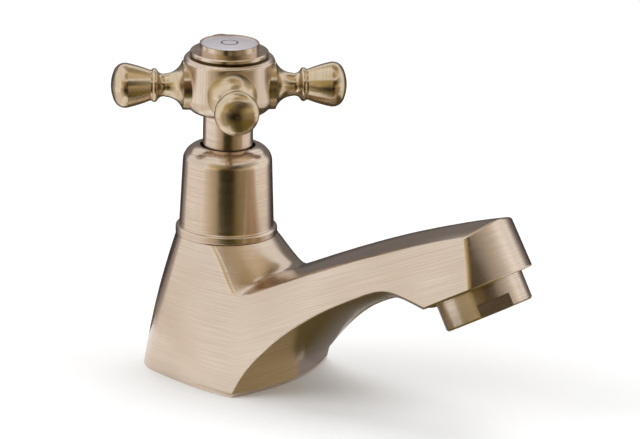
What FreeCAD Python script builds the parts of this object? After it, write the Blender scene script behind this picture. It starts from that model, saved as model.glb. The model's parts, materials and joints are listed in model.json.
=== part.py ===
import FreeCAD, Part
import math
import os

from FreeCAD import Vector

# Basin pillar tap with a cross handle.  Millimetres.  The origin is on the handle's axis at
# the deck that the tap stands on.  +X runs along the spout and +Z is up.

# ---------------------------------------------------------------- driving dimensions

# cast body: tower
TOWER_HEIGHT = 38.1          # deck to the flat top of the tower
TOWER_TOP_RADIUS = 13.6
REAR_SETBACK = 6.0           # how far the rear curve's centre lies behind the axis at the deck
REAR_RADIUS = 16.8           # rear curve at the deck
CORNER_X = 18.2              # sharp front corner of the base
SIDE_DRAFT = 0.2493          # inward lean of the side walls, per mm of height
SIDE_FLARE = 0.022           # outward spread of the side walls, per mm along the spout
SIDE_SPREAD_DEG = 20.5       # at the deck the tower's walls open forwards at this angle
SIDE_BLEND = 6.0             # the tower's wall has become the spout's this far past the corner

# cast body: spout
TOP_CROWN = 2.45             # how far the spout's top stands above its two edges
CROWN_START_X = 60.0         # from here on the crown falls away ...
CROWN_FALL = 0.02            # ... by this much per mm along the spout
NOSE_EDGE_X = 88.5           # corner of the nose at its underside
NOSE_EDGE_Z = 40.8
NOSE_RISE_DEG = 28.1         # the nose's underside rises forwards at this angle
NOSE_FRONT_RADIUS = 18.2     # the front of the nose is part of a leaning cylinder
NOSE_FRONT_LEAN_DEG = 29.8
NOSE_CREST_X = 94.3          # a point on the foremost line of the nose
NOSE_CREST_Z = 45.9
NOSE_FOLD_RADIUS = 2.5       # soft fold from each side into the front of the nose
UNDER_EDGE_RADIUS = 0.5      # edges of the arch and of the nose's underside
SCOOP_FOLD_RADIUS = 3.0      # the spout's two top edges are soft at the scoop ...
TOP_EDGE_RADIUS = 0.6        # ... and crisp at the nose
UNDER_CLEAR_X = 48.0         # nothing of the spout lies beyond here ...
UNDER_CLEAR_Z = 16.0         # ... below this height

# waterways and seats in the body
CHAMBER_RADIUS = 9.3         # bore that the valve screws into
SEAT_HEIGHT = 13.0
SEAT_HOLE_RADIUS = 5.2
CHANNEL_RADIUS = 4.0
CHANNEL_START_X = 4.0
CHANNEL_START_Z = 17.6
CHANNEL_RISE = 0.418         # per mm along the spout
CHANNEL_END_X = 79.0
PLENUM_RADIUS = 7.5          # space above the aerator
PLENUM_HEIGHT = 4.0

# tail, gasket and clamp
TAIL_RADIUS = 10.48          # half-inch pipe thread
TAIL_BORE_RADIUS = 6.75
TAIL_LENGTH = 48.0
TAIL_SPIGOT_RADIUS = 8.6
TAIL_SPIGOT_TOP = 11.0
GASKET_THICKNESS = 1.5
GASKET_RADIUS = 14.5
GASKET_FIT = 0.2
NUT_THICKNESS = 7.0
NUT_ACROSS_FLATS = 27.0
WASHER_RADIUS = 16.0
STEEL_WASHER_THICKNESS = 1.5
RUBBER_WASHER_THICKNESS = 3.0
DECK_GAP = 24.0              # body to rubber washer, as supplied
CLAMP_CLEARANCE = 0.30       # washers over the tail
THREAD_CLEARANCE = 0.08      # nut on the tail

# valve
VALVE_BARREL_RADIUS = 8.2
VALVE_THREAD_START = 28.0
VALVE_BARREL_BORE = 7.0
VALVE_FLANGE_RADIUS = 10.9
VALVE_FLANGE_THICKNESS = 1.5
VALVE_WASHER_THICKNESS = 1.0
VALVE_HEX_FLATS = 18.0
VALVE_NECK_RADIUS = 6.4
VALVE_NECK_TOP = 54.0
VALVE_NECK_LENGTH = 8.0      # round neck above the hexagon
SEAT_SEAL_THICKNESS = 2.0
SEAT_SEAL_RADIUS = 7.6
DISC_THICKNESS = 2.0
DISC_RADIUS = 6.85
DISC_GAP = 0.05              # running film between the two ceramic discs
PORT_INNER = 2.2             # ports through the discs
PORT_OUTER = 5.6
PORT_SWEEP_DEG = 70.0
TANG_WIDTH = 3.0             # spindle's drive across the moving disc
TANG_LENGTH = 9.0
TANG_DEPTH = 1.0
TANG_FIT = 0.05
WINDOW_WIDTH = 7.0

# spindle
SPINDLE_RADIUS = 4.0
RUNNING_CLEARANCE = 0.05
SPINDLE_HEAD_RADIUS = 6.6
SPINDLE_HEAD_THICKNESS = 1.6
FRICTION_WASHER_THICKNESS = 0.8
SPLINE_RADIUS = 3.6
SPLINE_BELOW_SLEEVE = 1.0
O_RING_WIRE = 0.6
O_RING_DEPTHS = (11.0, 5.0)  # below the top of the valve's neck
CIRCLIP_THICKNESS = 0.8
CIRCLIP_RADIUS = 5.3

# shroud
SHROUD_TOP = 62.8
SHROUD_FOOT_RADIUS = 13.8
SHROUD_FOOT_HEIGHT = 2.3
SHROUD_LOW_RADIUS = 12.85
SHROUD_HIGH_RADIUS = 12.15
SHROUD_SHOULDER = 4.6
SHROUD_MOUTH_RADIUS = 7.6
SHROUD_BORE = 11.0
SHROUD_WALL = 2.0
SHROUD_LEDGE = 4.0           # length of the collar that grips the valve's neck
SHROUD_SEAL_INNER = 11.9
SHROUD_SEAL_OUTER = 13.1
SHROUD_SEAL_THICKNESS = 0.9

# handle
ARM_HEIGHT = 79.6            # the cross's centre plane; the hub is placed from it
ARM_COUNT = 4
ARM_REACH = 32.0             # handle's axis to the tip of a knob
ARM_ROOT_RADIUS = 6.9
ARM_WAIST_RADIUS = 3.2
ARM_WAIST_BEFORE_TIP = 14.9
ARM_BEAD_RADIUS = 4.6
ARM_BEAD_BEFORE_TIP = 11.8
KNOB_NECK_RADIUS = 4.2
KNOB_LENGTH = 10.6
KNOB_RADIUS = 6.1
KNOB_WIDEST_BEFORE_TIP = 4.3
KNOB_FACE_RADIUS = 4.4       # the domed end of the knob
KNOB_FACE_DOME = 1.0
HUB_BELOW_ARMS = 7.6
HUB_ABOVE_ARMS = 8.15
HUB_RADIUS = 12.4
HUB_BOWL = 4.8
HUB_RIM_ROUND = 1.2
HUB_CAVITY_RADIUS = 6.5
HUB_FLOOR = 4.6
HUB_OVER_SPINDLE = 0.4       # the screw pulls the hub down on its sleeve, not on the spindle
INDEX_SEAT_DEPTH = 3.4
SLEEVE_RADIUS = 6.8
SLEEVE_ABOVE_NECK = 3.0
BUSH_RADIUS = 5.0
ARM_FIRST_DEG = 38.5         # shut, one arm points past the spout to the left
ARM_SPIGOT_RADIUS = 2.5
ARM_SPIGOT_START = 7.2
SCREW_RADIUS = 2.5
SCREW_HEAD_RADIUS = 4.5
SCREW_HEAD_HEIGHT = 3.2
SCREW_LENGTH = 12.0
SCREW_SOCKET_FLATS = 3.0

# index button
INDEX_FLANGE_RADIUS = 10.7
INDEX_FLANGE_HEIGHT = 1.6
INDEX_STEM_RADIUS = 9.5
INDEX_RING_RADIUS = 8.1
INDEX_RING_HEIGHT = 2.1
INDEX_DISC_RADIUS = 7.75
INDEX_DISC_DOME = 0.4

# aerator
AERATOR_X = 82.0             # where its axis leaves the nose's underside
AERATOR_RADIUS = 12.4
AERATOR_HEIGHT = 8.05
AERATOR_WALL = 1.3
AERATOR_THREAD_RADIUS = 10.9
AERATOR_THREAD_LENGTH = 5.5
AERATOR_FLAT_WIDTH = 9.5
AERATOR_FLAT_HEIGHT = 3.8
AERATOR_FLAT_TURN_DEG = 42.0
AERATOR_RIM_CHAMFER = 0.5
AERATOR_WASHER_THICKNESS = 1.5
MESH_HOLE_RADIUS = 0.85
MESH_PITCH = 2.5
MESH_RINGS = 3
MESH_THICKNESS = 1.0

# ---------------------------------------------------------------- small tools

AXIS_Z = Vector(0, 0, 1)
REACH = 130.0                # longer than the part, for cutting tools
BLOCK_END = 100.0            # rough front end of the casting before its nose is cut
ACROSS_STEPS = 12
SEAL_SIDES = 12


def cylinder(radius, low, high):
    return Part.makeCylinder(radius, high - low, Vector(0, 0, low))


def ring(inner, outer, low, high):
    return cylinder(outer, low, high).cut(cylinder(inner, low - 1, high + 1))


def outline(items):
    """Closed wire in the XZ plane.  (r, z) is a line to there; (rm, zm, r, z) an arc through rm, zm."""
    points = [Vector(item[-2], 0, item[-1]) for item in items]
    edges = []
    for index, item in enumerate(items):
        start = points[index - 1]
        end = points[index]
        if len(item) == 4:
            edges.append(Part.Arc(start, Vector(item[0], 0, item[1]), end).toShape())
        else:
            edges.append(Part.LineSegment(start, end).toShape())
    return Part.Wire(edges)


def turned(items):
    return Part.Face(outline(items)).revolve(Vector(0, 0, 0), AXIS_Z, 360)


def domed(radius, low, high):
    """Outline item that closes a turned shape with a dome from (radius, low) to the axis."""
    rise = high - low
    sphere = (radius ** 2 + rise ** 2) / (2 * rise)
    return (radius / 2, high - sphere + math.sqrt(sphere ** 2 - radius ** 2 / 4), 0, high)


def seal_ring(radius, wire, height):
    """Seal with a round section of few sides."""
    section = []
    for side in range(SEAL_SIDES):
        angle = 2 * math.pi * side / SEAL_SIDES
        section.append((radius + wire * math.cos(angle), height + wire * math.sin(angle)))
    return turned(section)


def hexagon(flats, low, high):
    corner = flats / math.sqrt(3)
    points = [
        Vector(corner * math.cos(math.radians(60 * turn)), corner * math.sin(math.radians(60 * turn)), low)
        for turn in range(7)
    ]
    return Part.Face(Part.makePolygon(points)).extrude(Vector(0, 0, high - low))


def save(name, shape):
    shape.exportStep("parts/" + name + ".step")
    print(name, len(shape.Solids), shape.isValid(), round(shape.Volume, 1))


# ---------------------------------------------------------------- cast body

SIDE_AT_DECK = TOWER_TOP_RADIUS + SIDE_DRAFT * TOWER_HEIGHT


def half_width(x, z):
    return SIDE_AT_DECK + SIDE_FLARE * x - SIDE_DRAFT * z


def wall_section(z):
    """Level outline of the side walls: a round rear, two long sides and an open front."""
    share = max(0.0, 1 - z / TOWER_HEIGHT)
    centre_x = -REAR_SETBACK * share
    if z < TOWER_HEIGHT:
        radius = REAR_RADIUS - (REAR_RADIUS - TOWER_TOP_RADIUS) * (1 - share) ** 2
    else:
        radius = half_width(0, z)
    bearing = math.radians(90 + SIDE_SPREAD_DEG * share)
    touch = Vector(centre_x + radius * math.cos(bearing), radius * math.sin(bearing), z)
    end_x = CORNER_X * share + SIDE_BLEND
    end = Vector(end_x, half_width(end_x, z), z)
    handle = 0.4 * (end - touch).Length
    first = touch + Vector(math.sin(bearing), -math.cos(bearing), 0) * handle
    second = end + Vector(-1, -SIDE_FLARE, 0) * handle
    front = Vector(BLOCK_END, half_width(BLOCK_END, z), z)
    far = [touch, first, second, end]
    near = [Vector(p.x, -p.y, p.z) for p in reversed(far)]
    front_near = Vector(front.x, -front.y, front.z)
    rear = Vector(centre_x - radius, 0, z)
    edges = [
        Part.Arc(near[3], rear, far[0]).toShape(),
        bezier(far),
        Part.LineSegment(far[3], front).toShape(),
        Part.LineSegment(front, front_near).toShape(),
        Part.LineSegment(front_near, near[0]).toShape(),
        bezier(near),
    ]
    return Part.Wire(edges)


def bezier(poles):
    curve = Part.BezierCurve()
    curve.setPoles(poles)
    return curve.toBSpline().toShape()


def bowed_line(edge, centre, half, spare):
    """Curve across the spout through both edges and the crown, a little longer than needed."""
    rise = math.hypot(centre[0] - edge[0], centre[1] - edge[1])
    up = ((centre[0] - edge[0]) / rise, (centre[1] - edge[1]) / rise)
    radius = (half ** 2 + rise ** 2) / (2 * rise)
    half_angle = math.atan2(half, radius - rise)
    reach = min(half_angle + spare / radius, math.radians(92))
    points = []
    for step in range(ACROSS_STEPS + 1):
        angle = reach * (2.0 * step / ACROSS_STEPS - 1)
        height = radius * (math.cos(angle) - math.cos(half_angle))
        points.append(Vector(edge[0] + up[0] * height, radius * math.sin(angle), edge[1] + up[1] * height))
    curve = Part.BSplineCurve()
    curve.interpolate(points)
    return curve


def skin(stations, spare):
    """Surface drawn along the spout: each station's curve is one row of its poles."""
    curves = [bowed_line(edge, centre, half, spare) for edge, centre, half in stations]
    rows = [curve.getPoles() for curve in curves]
    along_knots = list(range(len(rows) - 2))
    along_mults = [4] + [1] * (len(rows) - 4) + [4]
    across_knots = [knot / curves[0].LastParameter for knot in curves[0].getKnots()]
    surface = Part.BSplineSurface()
    surface.buildFromPolesMultsKnots(
        rows, along_mults, curves[0].getMultiplicities(), along_knots, across_knots, False, False, 3, 3)
    return surface.toShape()


def top_skin():
    """The scoop down the front of the tower, and the crowned top of the spout."""
    top = TOWER_HEIGHT
    stations = []
    scoop = (
        ((5.0, 0.0), (0.0, 0.0)), ((7.4, -3.0), (1.6, -2.0)), ((10.2, -6.7), (3.4, -3.8)),
        ((12.8, -10.4), (5.0, -5.1)), ((15.2, -12.6), (6.6, -5.9)), ((18.8, -10.8), (8.1, -6.1)),
    )
    for (edge_x, edge_drop), (centre_out, centre_drop) in scoop:
        edge = (edge_x, top + edge_drop)
        centre = (TOWER_TOP_RADIUS + centre_out, top + centre_drop)
        round_half = TOWER_TOP_RADIUS - 0.2 - edge_drop
        stations.append((edge, centre, min(half_width(*edge), round_half)))
    for edge in ((24.0, 30.0), (36.0, 35.7), (48.0, 41.0), (60.0, 45.9), (72.0, 50.3), (84.0, 54.5), (102.0, 59.3)):
        lean = math.radians(24 - (edge[0] - 24) * 0.08)
        crown = TOP_CROWN - CROWN_FALL * max(0.0, edge[0] - CROWN_START_X)
        centre = (edge[0] - crown * math.sin(lean), edge[1] + crown * math.cos(lean))
        stations.append((edge, centre, half_width(*edge)))
    return skin(stations, 4.0)


def under_skin():
    """The arch under the spout, bellied downwards between its two edges."""
    stations = []
    arch = (
        (17.4, -2.5, 4, 3.8), (18.2, 0.9, 8, 4.4), (20.2, 6.2, 18, 5.8), (24.9, 12.5, 34, 6.4),
        (31.2, 18.9, 48, 5.3), (41.7, 26.7, 58, 3.7), (52.0, 32.0, 63, 3.3), (58.5, 35.4, 68, 4.1),
        (63.0, 36.4, 84, 5.0), (68.5, 35.7, 98, 5.6), (76.5, 33.7, 102, 5.6), (108.0, 27.0, 102, 5.6),
    )
    for x, z, slope_deg, belly in arch:
        turn = math.radians(slope_deg)
        centre = (x + belly * math.cos(turn), z - belly * math.sin(turn))
        stations.append(((x, z), centre, half_width(x, z)))
    return skin(stations, 14.0)


def leaning(shape, x, z, degrees):
    """Stand a shape modelled about Z on the point (x, 0, z), leaned back by the angle."""
    turned_shape = shape.copy()
    turned_shape.Placement = FreeCAD.Placement(
        Vector(x, 0, z), FreeCAD.Rotation(Vector(0, 1, 0), -degrees))
    return turned_shape


def nose_plane_z(x):
    return NOSE_EDGE_Z + (x - NOSE_EDGE_X) * math.tan(math.radians(NOSE_RISE_DEG))


def nose_front_cutter():
    half_space = Part.makeBox(REACH, REACH, REACH, Vector(0, -REACH / 2, -REACH / 2))
    front = Part.makeCylinder(NOSE_FRONT_RADIUS, REACH, Vector(0, 0, -REACH / 2))
    cutter = half_space.cut(front)
    lean = math.radians(NOSE_FRONT_LEAN_DEG)
    x = NOSE_CREST_X - NOSE_FRONT_RADIUS * math.cos(lean)
    z = NOSE_CREST_Z - NOSE_FRONT_RADIUS * math.sin(lean)
    return leaning(cutter, x, z, NOSE_FRONT_LEAN_DEG)


def nose_under_cutter():
    slab = Part.makeBox(REACH, REACH, REACH, Vector(-22.0, -REACH / 2, -REACH))
    return leaning(slab, NOSE_EDGE_X, NOSE_EDGE_Z, NOSE_RISE_DEG)


def side_point(x, z):
    return (x, half_width(x, z), z)


def edges_at(shape, points):
    """The edges that pass nearest to the points and to their mirror images."""
    found = []
    for x, y, z in points:
        for across in (y, -y):
            place = Part.Vertex(Vector(x, across, z))
            edge = min(shape.Edges, key=lambda candidate: candidate.distToShape(place)[0])
            if not any(edge.isSame(other) for other in found):
                found.append(edge)
    return found


def softened(shape, radius, points):
    return shape.makeFillet(radius, edges_at(shape, points)).Solids[0]


def softened_along(shape, radius_at_tower, radius_at_nose, point):
    """Round the pair of edges at the point, with a radius that changes along the spout."""
    document = FreeCAD.newDocument("casting")
    plain = document.addObject("Part::Feature", "plain")
    plain.Shape = shape
    fold = document.addObject("Part::Fillet", "fold")
    fold.Base = plain
    rounds = []
    for edge in edges_at(shape, [point]):
        number = 1 + [edge.isSame(other) for other in shape.Edges].index(True)
        radii = (radius_at_tower, radius_at_nose)
        if edge.valueAt(edge.FirstParameter).x > edge.valueAt(edge.LastParameter).x:
            radii = (radius_at_nose, radius_at_tower)
        rounds.append((number, *radii))
    fold.Edges = rounds
    document.recompute()
    softened_shape = fold.Shape.Solids[0].copy()
    FreeCAD.closeDocument(document.Name)
    return softened_shape


def outer_body():
    levels = (0, TOWER_HEIGHT / 3, TOWER_HEIGHT * 2 / 3, TOWER_HEIGHT, TOWER_HEIGHT + 26)
    block = Part.makeLoft([wall_section(z) for z in levels], True, False)
    above = Part.makeBox(
        REACH, REACH, REACH, Vector(TOWER_TOP_RADIUS - REACH, -REACH / 2, TOWER_HEIGHT))
    block = block.cut(above)
    below = Part.makeBox(REACH, REACH, REACH, Vector(UNDER_CLEAR_X, -REACH / 2, UNDER_CLEAR_Z - REACH))
    block = block.cut(below)
    block = block.cut(top_skin().extrude(Vector(0, 0, REACH)))
    block = block.cut(under_skin().extrude(Vector(0, 0, -REACH)))
    block = block.cut(nose_front_cutter())
    block = block.cut(nose_under_cutter()).Solids[0]
    fold_x = NOSE_EDGE_X - NOSE_FOLD_RADIUS
    under_edges = [
        side_point(fold_x - 4, nose_plane_z(fold_x - 4)), (NOSE_CREST_X, 7, NOSE_CREST_Z - 2), side_point(52, 32)]
    block = softened(block, NOSE_FOLD_RADIUS, [side_point(fold_x, NOSE_EDGE_Z + 6)])
    block = softened(block, UNDER_EDGE_RADIUS, under_edges)
    return softened_along(block, SCOOP_FOLD_RADIUS, TOP_EDGE_RADIUS, side_point(48, 41))


def in_nose(shape):
    """Place a shape modelled about Z, with its mouth at 0, in the nose's underside."""
    return leaning(shape, AERATOR_X, nose_plane_z(AERATOR_X), NOSE_RISE_DEG)


def tap_body():
    casting = outer_body()
    channel_run = CHANNEL_END_X - CHANNEL_START_X
    channel = Part.makeCylinder(
        CHANNEL_RADIUS,
        channel_run * math.hypot(1, CHANNEL_RISE),
        Vector(CHANNEL_START_X, 0, CHANNEL_START_Z),
        Vector(1, 0, CHANNEL_RISE),
    )
    socket_depth = AERATOR_THREAD_LENGTH + AERATOR_WASHER_THICKNESS
    hollows = [
        cylinder(GASKET_RADIUS + GASKET_FIT, -1, GASKET_THICKNESS),
        cylinder(TAIL_SPIGOT_RADIUS, -1, TAIL_SPIGOT_TOP),
        cylinder(SEAT_HOLE_RADIUS, TAIL_SPIGOT_TOP - 1, SEAT_HEIGHT + 1),
        cylinder(CHAMBER_RADIUS, SEAT_HEIGHT, TOWER_HEIGHT + 1),
        channel,
        in_nose(cylinder(AERATOR_THREAD_RADIUS, -5, socket_depth)),
        in_nose(cylinder(PLENUM_RADIUS, socket_depth - 1, socket_depth + PLENUM_HEIGHT)),
    ]
    for hollow in hollows:
        casting = casting.cut(hollow)
    return casting


# ---------------------------------------------------------------- tail, gasket and clamp

def threaded_tail():
    shank = cylinder(TAIL_RADIUS, -TAIL_LENGTH, GASKET_THICKNESS)
    spigot = cylinder(TAIL_SPIGOT_RADIUS, GASKET_THICKNESS, TAIL_SPIGOT_TOP)
    return shank.fuse(spigot).removeSplitter().cut(
        cylinder(TAIL_BORE_RADIUS, -TAIL_LENGTH - 1, TAIL_SPIGOT_TOP + 1))


RUBBER_TOP = -DECK_GAP
STEEL_TOP = RUBBER_TOP - RUBBER_WASHER_THICKNESS
NUT_TOP = STEEL_TOP - STEEL_WASHER_THICKNESS


def backnut():
    low = NUT_TOP - NUT_THICKNESS
    blank = hexagon(NUT_ACROSS_FLATS, low, NUT_TOP)
    blank = blank.common(cylinder(NUT_ACROSS_FLATS * 0.565, low, NUT_TOP))
    return blank.cut(cylinder(TAIL_RADIUS + THREAD_CLEARANCE, low - 1, NUT_TOP + 1))


# ---------------------------------------------------------------- valve

FIXED_DISC_LOW = SEAT_HEIGHT + SEAT_SEAL_THICKNESS
MOVING_DISC_LOW = FIXED_DISC_LOW + DISC_THICKNESS + DISC_GAP
HEAD_LOW = MOVING_DISC_LOW + DISC_THICKNESS
HEAD_TOP = HEAD_LOW + SPINDLE_HEAD_THICKNESS
FRICTION_TOP = HEAD_TOP + FRICTION_WASHER_THICKNESS
VALVE_CEILING = FRICTION_TOP + RUNNING_CLEARANCE
FLANGE_LOW = TOWER_HEIGHT + VALVE_WASHER_THICKNESS
FLANGE_TOP = FLANGE_LOW + VALVE_FLANGE_THICKNESS
VALVE_HEX_TOP = VALVE_NECK_TOP - VALVE_NECK_LENGTH


def sector(inner, outer, middle_deg, sweep_deg, low, high):
    wedge = Part.makeCylinder(outer, high - low, Vector(0, 0, low), AXIS_Z, sweep_deg)
    wedge.rotate(Vector(0, 0, 0), AXIS_Z, middle_deg - sweep_deg / 2)
    return wedge.cut(cylinder(inner, low - 1, high + 1))


def valve_bonnet():
    barrel = turned([
        (0, FIXED_DISC_LOW), (VALVE_BARREL_RADIUS, FIXED_DISC_LOW), (VALVE_BARREL_RADIUS, VALVE_THREAD_START),
        (CHAMBER_RADIUS, VALVE_THREAD_START), (CHAMBER_RADIUS, FLANGE_LOW), (VALVE_FLANGE_RADIUS, FLANGE_LOW),
        (VALVE_FLANGE_RADIUS, FLANGE_TOP), (VALVE_NECK_RADIUS, FLANGE_TOP), (VALVE_NECK_RADIUS, VALVE_NECK_TOP),
        (0, VALVE_NECK_TOP),
    ])
    solid = barrel.fuse(hexagon(VALVE_HEX_FLATS, FLANGE_TOP, VALVE_HEX_TOP))
    solid = solid.cut(cylinder(VALVE_BARREL_BORE, FIXED_DISC_LOW - 1, VALVE_CEILING))
    solid = solid.cut(cylinder(SPINDLE_RADIUS + RUNNING_CLEARANCE, FIXED_DISC_LOW, VALVE_NECK_TOP + 1))
    window = Part.makeBox(
        WINDOW_WIDTH, 4 * VALVE_BARREL_RADIUS, HEAD_TOP - MOVING_DISC_LOW,
        Vector(-WINDOW_WIDTH / 2, -2 * VALVE_BARREL_RADIUS, MOVING_DISC_LOW))
    return solid.cut(window)


def ceramic_disc(radius, low, first_port_deg):
    disc = cylinder(radius, low, low + DISC_THICKNESS)
    for turn in (0, 180):
        port = sector(
            PORT_INNER, PORT_OUTER, first_port_deg + turn, PORT_SWEEP_DEG, low - 1, low + DISC_THICKNESS + 1)
        disc = disc.cut(port)
    return disc


def drive_tang(fit, low, high):
    width = TANG_WIDTH + 2 * fit
    length = TANG_LENGTH + 2 * fit
    return Part.makeBox(length, width, high - low, Vector(-length / 2, -width / 2, low))


def moving_ceramic_disc():
    disc = ceramic_disc(DISC_RADIUS, MOVING_DISC_LOW, 90)
    return disc.cut(drive_tang(TANG_FIT, HEAD_LOW - TANG_DEPTH - TANG_FIT, HEAD_LOW + 1))


HUB_BOTTOM = ARM_HEIGHT - HUB_BELOW_ARMS
HUB_TOP = ARM_HEIGHT + HUB_ABOVE_ARMS
HUB_FLOOR_TOP = HUB_BOTTOM + HUB_FLOOR
SPINDLE_TOP = HUB_BOTTOM - HUB_OVER_SPINDLE
SLEEVE_BOTTOM = VALVE_NECK_TOP + SLEEVE_ABOVE_NECK
SPLINE_START = SLEEVE_BOTTOM - SPLINE_BELOW_SLEEVE
O_RING_HEIGHTS = [VALVE_NECK_TOP - depth for depth in O_RING_DEPTHS]
O_RING_RADIUS = SPINDLE_RADIUS + 0.02 - O_RING_WIRE
CIRCLIP_LOW = VALVE_NECK_TOP + 0.2
CIRCLIP_SEAT = SPINDLE_RADIUS - 0.7


def spindle():
    shape = turned([
        (0, HEAD_LOW), (SPINDLE_HEAD_RADIUS, HEAD_LOW), (SPINDLE_HEAD_RADIUS, HEAD_TOP),
        (SPINDLE_RADIUS, HEAD_TOP), (SPINDLE_RADIUS, SPLINE_START), (SPLINE_RADIUS, SPLINE_START),
        (SPLINE_RADIUS, SPINDLE_TOP), (0, SPINDLE_TOP),
    ])
    shape = shape.fuse(drive_tang(0, HEAD_LOW - TANG_DEPTH, HEAD_LOW))
    half = O_RING_WIRE + 0.1
    for height in O_RING_HEIGHTS:
        shape = shape.cut(ring(O_RING_RADIUS - O_RING_WIRE, SPINDLE_RADIUS + 1, height - half, height + half))
    shape = shape.cut(ring(CIRCLIP_SEAT, SPINDLE_RADIUS + 1, CIRCLIP_LOW, CIRCLIP_LOW + CIRCLIP_THICKNESS))
    return shape.cut(cylinder(SCREW_RADIUS, HUB_FLOOR_TOP - SCREW_LENGTH - 0.5, SPINDLE_TOP + 1))


def spindle_o_rings():
    return Part.makeCompound([seal_ring(O_RING_RADIUS, O_RING_WIRE, height) for height in O_RING_HEIGHTS])


def spindle_circlip():
    clip = ring(CIRCLIP_SEAT, CIRCLIP_RADIUS, CIRCLIP_LOW, CIRCLIP_LOW + CIRCLIP_THICKNESS)
    mouth = sector(0.5, CIRCLIP_RADIUS + 1, 0, 60, CIRCLIP_LOW - 1, CIRCLIP_LOW + 2)
    return clip.cut(mouth)


# ---------------------------------------------------------------- shroud

def shroud():
    foot = TOWER_HEIGHT
    bead = foot + SHROUD_FOOT_HEIGHT
    shoulder = SHROUD_TOP - SHROUD_SHOULDER
    inside_top = SHROUD_TOP - SHROUD_WALL
    diagonal = SHROUD_SHOULDER * math.sin(math.radians(45))
    cavity = SHROUD_HIGH_RADIUS - SHROUD_WALL
    shape = turned([
        (SHROUD_BORE, foot), (SHROUD_FOOT_RADIUS - 0.4, foot),
        (SHROUD_FOOT_RADIUS - 0.12, foot + 0.12, SHROUD_FOOT_RADIUS, foot + 0.4),
        (SHROUD_FOOT_RADIUS, bead - 0.6),
        (SHROUD_FOOT_RADIUS - 0.2, bead - 0.15, SHROUD_FOOT_RADIUS - 0.7, bead),
        (SHROUD_LOW_RADIUS, bead + 0.25),
        (SHROUD_HIGH_RADIUS, shoulder),
        (SHROUD_HIGH_RADIUS - SHROUD_SHOULDER + diagonal, shoulder + diagonal,
         SHROUD_HIGH_RADIUS - SHROUD_SHOULDER, SHROUD_TOP),
        (SHROUD_MOUTH_RADIUS, SHROUD_TOP), (SHROUD_MOUTH_RADIUS, inside_top), (cavity - 2, inside_top),
        (cavity, inside_top - 2), (cavity, VALVE_NECK_TOP), (VALVE_NECK_RADIUS, VALVE_NECK_TOP),
        (VALVE_NECK_RADIUS, VALVE_NECK_TOP - SHROUD_LEDGE), (SHROUD_BORE, VALVE_NECK_TOP - SHROUD_LEDGE),
    ])
    groove = ring(SHROUD_SEAL_INNER, SHROUD_SEAL_OUTER, foot - 1, foot + SHROUD_SEAL_THICKNESS)
    return shape.cut(groove)


# ---------------------------------------------------------------- handle

INDEX_SEAT = HUB_TOP - INDEX_SEAT_DEPTH


def hub_outside():
    low = HUB_BOTTOM
    diagonal = HUB_BOWL * math.sin(math.radians(45))
    rim = HUB_RIM_ROUND * math.sin(math.radians(45))
    return turned([
        (0, low), (HUB_RADIUS - HUB_BOWL, low),
        (HUB_RADIUS - HUB_BOWL + diagonal, low + HUB_BOWL - diagonal, HUB_RADIUS, low + HUB_BOWL),
        (HUB_RADIUS, HUB_TOP - HUB_RIM_ROUND),
        (HUB_RADIUS - HUB_RIM_ROUND + rim, HUB_TOP - HUB_RIM_ROUND + rim, HUB_RADIUS - HUB_RIM_ROUND, HUB_TOP),
        (0, HUB_TOP),
    ])


def along_arm(shape, index):
    angle = math.radians(ARM_FIRST_DEG + index * 360.0 / ARM_COUNT)
    radial = Vector(math.cos(angle), math.sin(angle), 0)
    placed = shape.copy()
    placed.Placement = FreeCAD.Placement(Vector(0, 0, ARM_HEIGHT), FreeCAD.Rotation(AXIS_Z, radial))
    return placed


def handle_hub():
    hub = hub_outside()
    hub = hub.cut(cylinder(SCREW_RADIUS + 0.1, HUB_BOTTOM - 1, HUB_FLOOR_TOP + 1))
    hub = hub.cut(cylinder(HUB_CAVITY_RADIUS, HUB_FLOOR_TOP, HUB_TOP))
    hub = hub.cut(cylinder(INDEX_STEM_RADIUS, INDEX_SEAT, HUB_TOP + 1))
    for index in range(ARM_COUNT):
        hub = hub.cut(along_arm(cylinder(ARM_SPIGOT_RADIUS, ARM_SPIGOT_START, HUB_RADIUS + 1), index))
    return hub


def handle_arm(index):
    """Flared root coped to the hub, waisted neck, bead, and a knob like a small pear."""
    root = HUB_RADIUS + 0.2
    waist = ARM_REACH - ARM_WAIST_BEFORE_TIP
    bead = ARM_REACH - ARM_BEAD_BEFORE_TIP
    knob = ARM_REACH - KNOB_LENGTH
    widest = ARM_REACH - KNOB_WIDEST_BEFORE_TIP
    face = ARM_REACH - KNOB_FACE_DOME
    bead_foot = ARM_BEAD_RADIUS - 0.6
    flare = ARM_WAIST_RADIUS + 0.3 * (ARM_ROOT_RADIUS - ARM_WAIST_RADIUS)
    pear = (KNOB_NECK_RADIUS + KNOB_RADIUS) / 2 + 0.15
    profile = turned([
        (0, ARM_SPIGOT_START), (ARM_ROOT_RADIUS, ARM_SPIGOT_START), (ARM_ROOT_RADIUS - 0.2, root),
        (flare, root + 0.37 * (waist - root), ARM_WAIST_RADIUS, waist),
        (ARM_WAIST_RADIUS + 0.1, (waist + bead) / 2, bead_foot, bead - 0.8),
        (ARM_BEAD_RADIUS, bead, KNOB_NECK_RADIUS, bead + 0.8),
        (KNOB_NECK_RADIUS, knob),
        (pear, (knob + widest) / 2, KNOB_RADIUS, widest),
        (KNOB_RADIUS - 0.35, widest + 0.6 * (face - widest), KNOB_FACE_RADIUS, face),
        domed(KNOB_FACE_RADIUS, face, ARM_REACH),
    ])
    arm = along_arm(profile, index).cut(hub_outside())
    arm = arm.fuse(along_arm(cylinder(ARM_SPIGOT_RADIUS, ARM_SPIGOT_START, HUB_RADIUS + 0.5), index))
    return arm.removeSplitter()


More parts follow.
